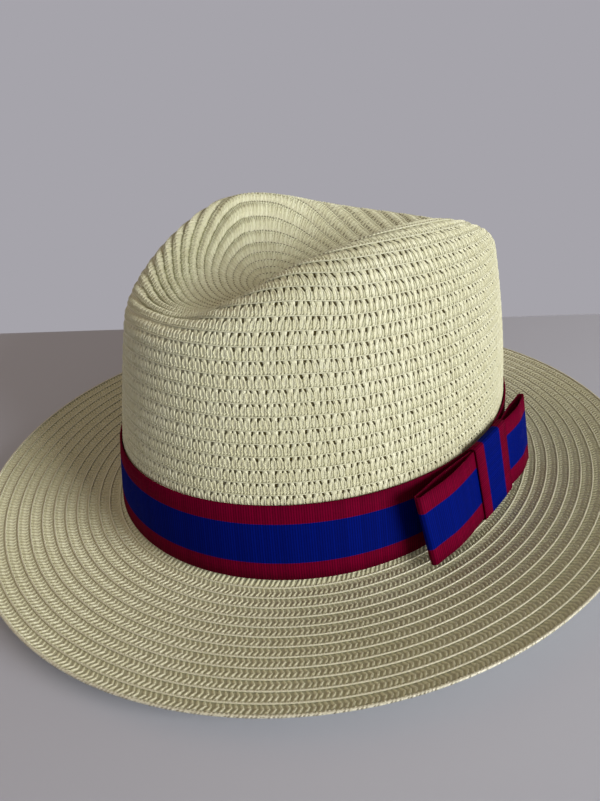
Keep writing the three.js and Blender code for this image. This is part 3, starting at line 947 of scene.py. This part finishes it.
add_node(stitch, "NodeGroupOutput", {"Geometry": finished})
print("stitching tree of", len(stitch.nodes), "nodes")

# %% [markdown]
# The thread is the thin line at each row's outer edge that catches the light on the brim.
# It is laid as a curve first and given its round section on the hat, so that it stays round
# where the rows narrow.

# %% Thread tree
SPARE_PLACES = 6.0  # so that even the smallest ring at the button is round
THREAD_CORNERS = 5  # of the thread's round section

cord_tree, given = new_tree("edge_cords", (
    ("Geometry", "Geometry"), ("Step", "Float"), ("Radius", "Float"), ("Height", "Float"),
    ("Surface", "Object"), ("Material", "Material")))
lap = add_node(cord_tree, NAMED, {"Name": "lap"}, data_type="FLOAT")
steps = add_node(cord_tree, MATH, (lap, given["Step"]), operation="DIVIDE")
places = add_node(cord_tree, MATH, (steps, SPARE_PLACES), operation="ADD")
open_rows = cut_rows(cord_tree, given, lap, places, keeps_along=True)
raised = add_node(cord_tree, "GeometryNodeSetPosition", {
    "Geometry": open_rows,
    "Offset": add_node(cord_tree, "ShaderNodeCombineXYZ", {"Z": given["Height"]})})
laid = add_node(cord_tree, "GeometryNodeGroup", {
    "Geometry": raised, "Surface": given["Surface"]}, node_tree=lay)
joined = add_node(cord_tree, "GeometryNodeSetSplineCyclic", {
    "Geometry": laid, "Cyclic": True})
circle = add_node(cord_tree, "GeometryNodeCurvePrimitiveCircle", {
    "Resolution": THREAD_CORNERS, "Radius": given["Radius"]})
profile = add_node(cord_tree, "GeometryNodeStoreNamedAttribute", {
    "Geometry": circle, "Name": "around",
    "Value": add_node(cord_tree, "GeometryNodeSplineParameter")},
    data_type="FLOAT", domain="POINT")
tube = add_node(cord_tree, "GeometryNodeCurveToMesh", {
    "Curve": joined, "Profile Curve": profile})
rounded = add_node(cord_tree, "GeometryNodeSetShadeSmooth", {"Geometry": tube})
finished = add_node(cord_tree, "GeometryNodeSetMaterial", {
    "Geometry": rounded, "Material": given["Material"]})
add_node(cord_tree, "NodeGroupOutput", {"Geometry": finished})
print("thread tree of", len(cord_tree.nodes), "nodes")

# %% [markdown]
# ## Paper straw
#
# The braid is twisted paper straw: thin paper slit into strips and spun into flat yarn. Its
# face is slightly fibrous and has the faint sheen of smooth paper, whose IOR is near 1.5.
# Each stitch takes a slightly different cream, fibres run through it, and a bump follows
# the yarn's twist. Where the braid was ironed flat it is paler, and a dotted line of painted
# shade stands for the small holes left between one row and the next.
#
# The colours are laid on in coats: each coat covers the one below by its own share.

# %% Coats of colour
def lay_coats(tree, shader, base, coats, relief, depth):
    """Coats over a base colour, and a bump; both go to the shader."""
    for cover, tint in coats:
        base = add_node(
            tree, MIX, {"Factor": cover, "A": base, "B": tint}, data_type="RGBA")
    bump = add_node(tree, "ShaderNodeBump", {
        "Height": relief, "Distance": depth, "Strength": 0.5})
    fill_inputs(tree, shader, {"Base Color": base, "Normal": bump, "IOR": 1.5})


# %% [markdown]
# The yarn has coats that the backing doesn't need: the paler ironed face, each stitch's own
# shade of cream and the painted shade of the holes. The twist goes into the relief, as a sine
# of the place along and around the yarn, which is stored on every stitch and thread.

# %% The yarn's face
TWIST = 1 / (2.0 * MM)  # turns per metre: one in 2 mm
HOLES = 1 / (1.5 * MM)  # per metre: one in 1.5 mm
HOLE_LINE = 0.89        # 0 is a row's middle and 1 its edge; the holes lie past this
HOLE_LENGTH = -0.1      # below 0 the holes are longer than the gaps between them
# how strong the painted shade of the holes is, how far each stitch's tone spreads at random,
# and the twist's share of the relief
HOLE_SHADE, SHADE_SPREAD, TWIST_RELIEF = 0.9, 0.35, 0.5
IRONED_REACH = 2.4      # the ironed look reaches further than the pressed shape
YARN_FIELDS = ("ironed", "shade", "along", "around", "share")


def yarn_face(tree, fibres):
    """The yarn's own coats of colour, and the relief of its twist."""
    ironed, shade, along, around, share = (
        add_node(tree, "ShaderNodeAttribute", attribute_name=field).outputs["Fac"]
        for field in YARN_FIELDS)
    reach = add_node(tree, MATH, (ironed, IRONED_REACH), operation="MULTIPLY")
    smooth = add_node(tree, MATH, (reach, 1.0), operation="MINIMUM")
    uneven = add_node(tree, MATH, (shade, SHADE_SPREAD), operation="MULTIPLY")
    turns = add_node(tree, MATH, (along, TWIST, around), operation="MULTIPLY_ADD")
    twist_angle = add_node(tree, MATH, (turns, 2 * math.pi), operation="MULTIPLY")
    twist = add_node(tree, MATH, (twist_angle,), operation="SINE")
    relief = add_node(tree, MATH, (twist, TWIST_RELIEF, fibres), operation="MULTIPLY_ADD")
    # painted shade of holes in a dotted line, where two rows meet
    centred = add_node(tree, MATH, (share, 2.0, -1.0), operation="MULTIPLY_ADD")
    edge = add_node(tree, MATH, (centred,), operation="ABSOLUTE")
    at_line = add_node(tree, MATH, (edge, HOLE_LINE), operation="GREATER_THAN")
    dot_angle = add_node(tree, MATH, (along, 2 * math.pi * HOLES), operation="MULTIPLY")
    dot_wave = add_node(tree, MATH, (dot_angle,), operation="SINE")
    dots = add_node(tree, MATH, (dot_wave, HOLE_LENGTH), operation="GREATER_THAN")
    dotted_line = add_node(tree, MATH, (at_line, dots), operation="MULTIPLY")
    # painted shade for the holes, only where the braid was ironed
    dark = add_node(tree, MATH, (smooth, HOLE_SHADE), operation="MULTIPLY")
    hole_shade = add_node(tree, MATH, (dotted_line, dark), operation="MULTIPLY")
    return [(smooth, colour("#F2F5DC")), (uneven, colour("#CCC9A6")),
            (hole_shade, colour("#6E6646"))], relief


# %% [markdown]
# The backing and the yarn share one material function, and the binding thread is the yarn
# in paler colours with more shine; its paleness is partly its own and partly a painted
# highlight. Under everything is a slow drift of cream over the hat, and over it lie the
# fibres. The noise scales are counted per metre: 33 gives patches of 30 mm, and 2500 gives
# fibres of 0.4 mm.

# %% Paper straw material
PATCHES, FIBRES = 33.0, 2500.0


def straw_material(name, is_backing, low="#DDDEC3", high="#E5E6D1", rough=0.42, shine=0.6):
    material, tree, shader = new_material(name)
    coordinates = add_node(tree, "ShaderNodeTexCoord").outputs["Object"]
    patches, fibres = (add_node(tree, "ShaderNodeTexNoise", {
        "Vector": coordinates, "Scale": scale, "Detail": 2.0}) for scale in (PATCHES, FIBRES))
    base = add_node(tree, MIX, {
        "Factor": patches, "A": colour(low), "B": colour(high)}, data_type="RGBA")
    streaks = add_node(tree, "ShaderNodeMapRange", {
        "Value": fibres, "From Min": 0.35, "From Max": 0.75, "To Min": 0.0, "To Max": 0.5})
    coats = [(streaks, colour("#B9B68F"))]
    if is_backing:
        # painted shade: the slits between the strands are darkened, for the shaded inside of
        # the hat seen through them
        slit = add_node(tree, "ShaderNodeAttribute", attribute_name="slit").outputs["Fac"]
        coats.append((slit, colour("#443C1E")))
        relief = fibres
    else:
        yarn_coats, relief = yarn_face(tree, fibres)
        coats += yarn_coats
    lay_coats(tree, shader, base, coats, relief, depth=0.1 * MM)
    fill_inputs(tree, shader, {"Roughness": rough, "Specular IOR Level": shine})
    print(material.name, "has", len(tree.nodes), "nodes")
    return material


straw = straw_material("twisted_paper_straw", is_backing=False)
# the binding thread is smoother than the straw and shines more; its paler colour is partly its
# own and partly a painted highlight, for the bright lines on the brim
thread_paper = straw_material(
    "bleached_binding_thread", is_backing=False, low="#E6E5D2", high="#EEEDDE",
    rough=0.3, shine=0.9)
backing_straw = straw_material("paper_straw_backing", is_backing=True, rough=0.5, shine=0.1)
backing.data.materials.append(backing_straw)

# %% [markdown]
# ## Running the trees
#
# Rows under the ribbon stay bare, because nobody sees them and the ribbon lies flat on them.
# Each modifier's inputs are set by identifier before the object is first evaluated, the
# result becomes a plain mesh, and the modifier goes.

# %% Rows, and a tree's result as a mesh
LAP_READ_AT = 0.15  # a lap's length is read this far above its number, mid-row


def row_lines(name, rows):
    """Rows as straight lines on the squared paper, each with its real length."""
    ends, laps = [], []
    for k in rows:
        ends += [(0, k - EDGE_PHASE, 0), (1, k - EDGE_PHASE, 0)]
        laps += [float(np.interp(k + LAP_READ_AT, row_numbers, lap_mm)) * MM] * 2
    made = link_mesh(name, ends, edges=[(i, i + 1) for i in range(0, len(ends), 2)])
    store(made, "lap", laps)
    return made


def run_tree(made, tree, values):
    modifier = made.modifiers.new("tree", "NODES")
    modifier.node_group = tree
    for item in tree.interface.items_tree:
        if item.in_out == "INPUT" and item.name in values:
            modifier[item.identifier] = values[item.name]
    made.update_tag()
    depsgraph = bpy.context.evaluated_depsgraph_get()
    mesh = bpy.data.meshes.new_from_object(made.evaluated_get(depsgraph), depsgraph=depsgraph)
    made.modifiers.remove(modifier)
    made.data = mesh
    mesh.name = made.name
    # the drawn stitches had no material, and leave an empty slot before the tree's own
    mesh.materials.clear()
    mesh.materials.append(values["Material"])
    mesh.polygons.foreach_set("material_index", [0] * len(mesh.polygons))
    mesh.calc_loop_triangles()
    print(made.name, "triangles", len(mesh.loop_triangles))
    return made


# %% [markdown]
# The hat is covered in seven stretches, so that no piece grows too heavy. Three kinds of work
# make them: the twists that bind the brim's edge, the brim, and the crown. The thread on the
# brim is paler paper with more shine, its paleness partly its own colour and partly a painted
# highlight; on the crown it is plain straw.

# %% Stitches and threads
EDGE_PITCH = 1.3    # mm from twist to twist
THREAD_STEP = 2.4   # mm from point to point along a thread
UNEVENNESS = 0.1    # share of the pitch by which a stitch may stray
SEED_STEP = 10      # a tree uses four seeds in a row, so the stretches never share one
MID_BRIM, MID_SIDE, TOP_STARTS, DENT_STARTS = -13, 6, 12, 19  # rows between two stretches

# stitches, their pitch in mm and straw; thread's radius and height in mm, and its straw
EDGE_WORK = edge_twists, EDGE_PITCH, thread_paper, 0.55, -0.40, thread_paper
BRIM_WORK = brim_strands, BRIM_PITCH, straw, 0.36, -0.36, thread_paper
CROWN_WORK = crown_strands, CROWN_PITCH, straw, 0.24, -0.45, straw
STRETCHES = (
    ("brim_edge", first_row, first_row + 1, EDGE_WORK),
    ("brim_outer", first_row, MID_BRIM, BRIM_WORK),
    ("brim_inner", MID_BRIM, FIRST_BRIM_ROW + 1, BRIM_WORK),
    ("side_low", 0, MID_SIDE, CROWN_WORK),
    ("side_high", MID_SIDE, TOP_STARTS, CROWN_WORK),
    ("crown_top", TOP_STARTS, DENT_STARTS, CROWN_WORK),
    ("crown_dent", DENT_STARTS, ROWS_TO_BUTTON, CROWN_WORK),
)
straw_pieces = [backing]
for number, (part, first, past_last, work) in enumerate(STRETCHES):
    units, pitch, paper, radius, level, thread = work
    rows = range(first, past_last)
    straw_pieces.append(run_tree(row_lines(f"{part}_stitches", rows), stitch, {
        "Pitch": pitch * MM, "Unevenness": UNEVENNESS, "Strands": units,
        "Surface": helper, "Seed": SEED_STEP * number, "Material": paper}))
    straw_pieces.append(run_tree(row_lines(f"{part}_threads", rows), cord_tree, {
        "Step": THREAD_STEP * MM, "Radius": radius * MM, "Height": level * MM,
        "Surface": helper, "Material": thread}))
bpy.data.objects.remove(helper)
for collection in (crown_strands, brim_strands, edge_twists):
    for strand in list(collection.objects):
        bpy.data.objects.remove(strand)
    bpy.data.collections.remove(collection)
print("straw pieces", len(straw_pieces))

# %% [markdown]
# ## Ribbed ribbon
#
# The band is one ribbed ribbon, 32 mm wide: a fine warp drawn over thick crosswise threads,
# which stand up as ribs three quarters of a millimetre apart. The stripes are woven in, so
# their edges are as sharp as one warp thread: 7.5 mm maroon, 17 mm blue, 7.5 mm maroon.
# Dyed warp takes light deep between its threads, so the face has nearly no gloss.

# %% Ribbon material
STRIPE_EDGE = 0.235  # share of the ribbon's width, from each side
RIB_SHADE = 0.7      # painted shade between two ribs, where the warp lies back
LINT = 2000.0        # per metre: uneven dye and lint, about 0.5 mm
WARP_MM = 0.25       # from warp thread to warp thread
WARP_RELIEF = 0.4    # how much of the relief is the warp's, beside the lint's


def ribbon_material(name, maroon, blue, worn_maroon, worn_blue):
    material, tree, shader = new_material(name)
    coordinates = add_node(tree, "ShaderNodeTexCoord").outputs["Object"]
    across, between_ribs = (
        add_node(tree, "ShaderNodeAttribute", attribute_name=field).outputs["Fac"]
        for field in ("across", "between_ribs"))
    centred = add_node(tree, MATH, (across, 0.5), operation="SUBTRACT")
    from_middle = add_node(tree, MATH, (centred,), operation="ABSOLUTE")
    outside = add_node(
        tree, MATH, (from_middle, 0.5 - STRIPE_EDGE), operation="GREATER_THAN")
    stripes, worn_stripes = (
        add_node(tree, MIX, {"Factor": outside, "A": colour(inner), "B": colour(outer)},
                 data_type="RGBA")
        for inner, outer in ((blue, maroon), (worn_blue, worn_maroon)))
    # painted shade in the valleys between ribs, toward near black, with each rib's random tone
    between = add_node(tree, MATH, (between_ribs, RIB_SHADE), operation="MULTIPLY")
    lint = add_node(tree, "ShaderNodeTexNoise", {
        "Vector": coordinates, "Scale": LINT, "Detail": 2.0})
    worn = add_node(tree, "ShaderNodeMapRange", {
        "Value": lint, "From Min": 0.4, "From Max": 0.8, "To Min": 0.0, "To Max": 0.3})
    warp_angle = add_node(
        tree, MATH, (across, 2 * math.pi * RIBBON_WIDTH / WARP_MM), operation="MULTIPLY")
    warp = add_node(tree, MATH, (warp_angle,), operation="SINE")
    relief = add_node(tree, MATH, (warp, WARP_RELIEF, lint), operation="MULTIPLY_ADD")
    lay_coats(tree, shader, stripes, [(between, colour("#020208")), (worn, worn_stripes)],
              relief, depth=0.05 * MM)
    fill_inputs(tree, shader, {"Roughness": 0.65, "Specular IOR Level": 0.02})
    print(material.name, "has", len(tree.nodes), "nodes")
    return material


ribbed = ribbon_material("woven_ribbed_ribbon", maroon="#7E002E", blue="#001684",
                         worn_maroon="#780030", worn_blue="#001680")

# %% [markdown]
# The ribs are real geometry: a ribbon is a closed skin of narrow columns, laid side by side
# along it, and every second column stands back. A number stored on each column tells the
# material where to paint shade between two ribs, and gives each rib a random tone of its own.

# %% Ribbon skin
RIB_PITCH = 1.0   # mm; a little coarser than the real 0.75, so that the ribs show
RIB_HEIGHT = 0.16
RIB_UNEVEN = 0.4  # how much a rib's own shade may differ
FACE_STEPS = 6    # quads across the ribbon's width
RIB_SEED = 7


def ribbon_skin(name, columns):
    """Closed skin over columns of (outer edge-to-edge points, inner ones)."""
    count, corners = len(columns), 2 * (FACE_STEPS + 1)
    vertices = np.concatenate([np.vstack([outer, inner[::-1]]) for outer, inner in columns])
    faces = []
    for i in range(count):
        a, b = i * corners, (i + 1) % count * corners
        for j in range(corners):
            k = (j + 1) % corners
            faces.append((a + j, b + j, b + k, a + k))
    made = link_mesh(name, vertices * MM, faces)
    across = np.linspace(0, 1, FACE_STEPS + 1)
    store(made, "across", np.tile(np.concatenate([across, across[::-1]]), count))
    # every second column is a valley and gets full painted shade; the ribs get a random tone
    # of their own
    odd = np.arange(count) % 2
    uneven = np.random.default_rng(RIB_SEED).uniform(0, RIB_UNEVEN, count)
    store(made, "between_ribs", np.repeat(np.maximum(odd, uneven), corners))
    made.data.materials.append(ribbed)
    print(name, len(faces) * 2, "triangles")
    return made


# %% Band
band_inner, band_outer = GAP - STRAW_INSET, GAP - STRAW_INSET + RIBBON
dense = np.linspace(0, 2 * math.pi, 1441)  # every quarter of a degree
walked = length_along(wall_point(dense, RIBBON_WIDTH / 2, band_outer))
ribs = round(walked[-1] / RIB_PITCH)
rib_angles = np.interp(np.arange(2 * ribs) / (2 * ribs) * walked[-1], walked, dense)
heights = np.linspace(0, RIBBON_WIDTH, FACE_STEPS + 1)
columns_of_band = [
    (wall_point(angle, heights, band_outer - RIB_HEIGHT * (i % 2)),
     wall_point(angle, heights, band_inner))
    for i, angle in enumerate(rib_angles)]
band = ribbon_skin("hat_band_ribbon", columns_of_band)
print("band", round(walked[-1]), "mm round,", ribs, "ribs")

# %% [markdown]
# ## The flat bow
#
# The bow is the same ribbon folded into a flat loop, with a short piece wrapped round its
# waist. It leans on the crown, its two wings a little open at the ends, and the back wing
# lifts. Its line is drawn from above first, then stood up on its place on the side.

# %% Place of the bow
BOW_CENTRE = np.array([-23, 84.15, 21])
# turned from the hat's length, leaning with the crown, and bent to this radius in mm
BOW_TURN, BOW_LEAN, BOW_BEND = math.radians(10), math.radians(15), 360
# the wings' lengths from the waist, their flare upwards and the back wing's lift
FRONT_WING, BACK_WING, BOW_FLARE, BACK_LIFT = 51.8, 41.8, 0.055, 1.5


def bow_point(along, outward, up):
    """Place on the bow: along to the front, outward from the crown, up the ribbon."""
    along, outward, up = np.broadcast_arrays(*map(np.asarray, (along, outward, up)))
    flared = along * (1 + BOW_FLARE * up / RIBBON_WIDTH)
    lifted = up + BACK_LIFT * (np.minimum(along, 0) / BACK_WING) ** 2
    bent = outward - along**2 / (2 * BOW_BEND)
    level = bent * math.cos(BOW_LEAN) - lifted * math.sin(BOW_LEAN)
    rise = bent * math.sin(BOW_LEAN) + lifted * math.cos(BOW_LEAN)
    return BOW_CENTRE + np.stack([
        flared * math.cos(BOW_TURN) - level * math.sin(BOW_TURN),
        flared * math.sin(BOW_TURN) + level * math.cos(BOW_TURN), rise], -1)


print("bow's middle", bow_point(0, 0, 0), "mm")

# %% [markdown]
# The loop and the wrap are both a closed line, cut to even half ribs. At each cut a column
# of points goes across the ribbon, on its outer and its inner face.

# %% Ribbon along a closed line
BOW_RIBBON = 0.6  # mm; the bow's ribbon isn't stretched on straw, so it keeps its thickness


def even_line(corners, step):
    """A closed line cut to even steps, with its outward sides."""
    round_again = np.vstack([corners, corners[:1]])
    length = length_along(round_again)
    count = 2 * round(length[-1] / step / 2)
    walk = np.arange(count) / count * length[-1]
    line = np.stack([np.interp(walk, length, round_again[:, i]) for i in (0, 1)], -1)
    run = np.roll(line, -2, axis=0) - np.roll(line, 2, axis=0)
    run /= np.linalg.norm(run, axis=1, keepdims=True)
    return line, np.stack([run[:, 1], -run[:, 0]], -1), length[-1]


def folded_columns(line, sides, place):
    """Columns of points across the ribbon, every second one without its rib."""
    columns = []
    for i, (point, side) in enumerate(zip(line, sides)):
        reach_out, reach_in = BOW_RIBBON / 2 - RIB_HEIGHT * (i % 2), BOW_RIBBON / 2
        columns.append((place(*(point + side * reach_out)), place(*(point - side * reach_in))))
    return columns


square = np.array([(1, 1), (-1, 1), (-1, -1), (1, -1)])
print("a square of 2 mm, cut every 0.5 mm:", len(even_line(square, 0.5)[0]), "places")

# %% Loop
WING_OPEN, WING_FILL = 3.2, 0.7  # mm at the widest, and the share of a wing to reach it
FOLD_PRESS = 0.55  # the folds at the wings' ends are pressed, so they close again
FOLD_FROM = 0.55   # share of a wing where the pressing begins
WRAP_WIDTH = 28
WING_POINTS, FOLD_POINTS = 160, 20
end_round = (WING_OPEN * (1 - FOLD_PRESS) + RIBBON + GAP) / 2
waist = WRAP_WIDTH / 2


def half_loop(along):
    """Half the loop's depth, from the flat waist to the end of a wing."""
    end = np.where(along > 0, FRONT_WING, BACK_WING) - end_round
    past = np.maximum(0, np.abs(along) - waist) / (end - waist)
    opened = np.sin(np.pi / 2 * np.minimum(past / WING_FILL, 1))
    opened = opened * (1 - FOLD_PRESS * smooth_step(FOLD_FROM, 1.0, past))
    return (GAP + RIBBON + WING_OPEN * opened) / 2


runs = np.linspace(FRONT_WING - end_round, -(BACK_WING - end_round), WING_POINTS)
fold = np.linspace(0, math.pi, FOLD_POINTS)[1:-1]
outer_side = np.column_stack([runs, half_loop(runs)])
# a half circle closes each wing, at the last run backwards and at the first one forwards
back_fold, front_fold = (
    np.column_stack([runs[i] + way * end_round * np.sin(fold),
                     -way * half_loop(runs[i]) * np.cos(fold)])
    for i, way in ((-1, -1), (0, 1)))
loop_corners = np.vstack([outer_side, back_fold, outer_side[::-1] * (1, -1), front_fold])
line, sides, loop_length = even_line(loop_corners, RIB_PITCH / 2)
up = np.linspace(-RIBBON_WIDTH / 2, RIBBON_WIDTH / 2, FACE_STEPS + 1)
columns_of_loops = folded_columns(
    line, -sides, lambda along_mm, out_mm: bow_point(along_mm, out_mm, up))
loops = ribbon_skin("bow_loop_ribbon", columns_of_loops[::-1])
print("loop", round(loop_length), "mm of ribbon")

# %% Wrap
WRAP_OVERHANG, WRAP_CORNER = 0.6, 0.9  # mm past the ribbon's edges, and its corners' radius
CORNER_POINTS = 8
half_up = RIBBON_WIDTH / 2 + WRAP_OVERHANG + RIBBON / 2
half_out = (GAP + RIBBON) / 2 + RIBBON / 2 + GAP + RIBBON / 2
corner = np.linspace(0, math.pi / 2, CORNER_POINTS)
quarter = np.column_stack([
    half_out - WRAP_CORNER + WRAP_CORNER * np.cos(corner),
    half_up - WRAP_CORNER + WRAP_CORNER * np.sin(corner)])
wrap_corners = np.vstack([
    quarter, quarter[::-1] * (-1, 1), quarter * (-1, -1), quarter[::-1] * (1, -1)])
line, sides, wrap_length = even_line(wrap_corners, RIB_PITCH / 2)
width = np.linspace(-WRAP_WIDTH / 2, WRAP_WIDTH / 2, FACE_STEPS + 1)
wrap = ribbon_skin("bow_wrap_ribbon", folded_columns(
    line, sides, lambda out_mm, up_mm: bow_point(width, out_mm, up_mm)))
print("wrap", round(wrap_length), "mm of ribbon")

# %% [markdown]
# A skin turned inside out looks right in a render and wrong everywhere else. Its signed
# volume tells: it is positive when the faces point outwards.


# %% Faces outwards
def point_outwards(made):
    """Turns the skin round if its faces point inwards."""
    mesh = made.data
    volume = sum(face.center.dot(face.normal) * face.area for face in mesh.polygons) / 3
    print(made.name, "signed volume", round(volume / MM**3), "mm3")
    if volume < 0:
        mesh.flip_normals()


for piece in (backing, band, loops, wrap):
    point_outwards(piece)

# %% [markdown]
# ## What each piece stands for
#
# Every piece rides on the hat's one body, and the imported solids that the pieces stand for
# are hidden. The three ribbons are cut sheets of cloth; the braid is sewn from one long
# strand and was never a cut sheet.

# %% Riding
for piece in straw_pieces:
    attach(piece, ROOT)
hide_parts("straw_body")
for piece, node in ((band, "hat_band"), (loops, "bow_loops"), (wrap, "bow_wrap")):
    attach(piece, ROOT)
    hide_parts(node)
print("riding on", ROOT, "are", len(straw_pieces) + 3, "pieces")
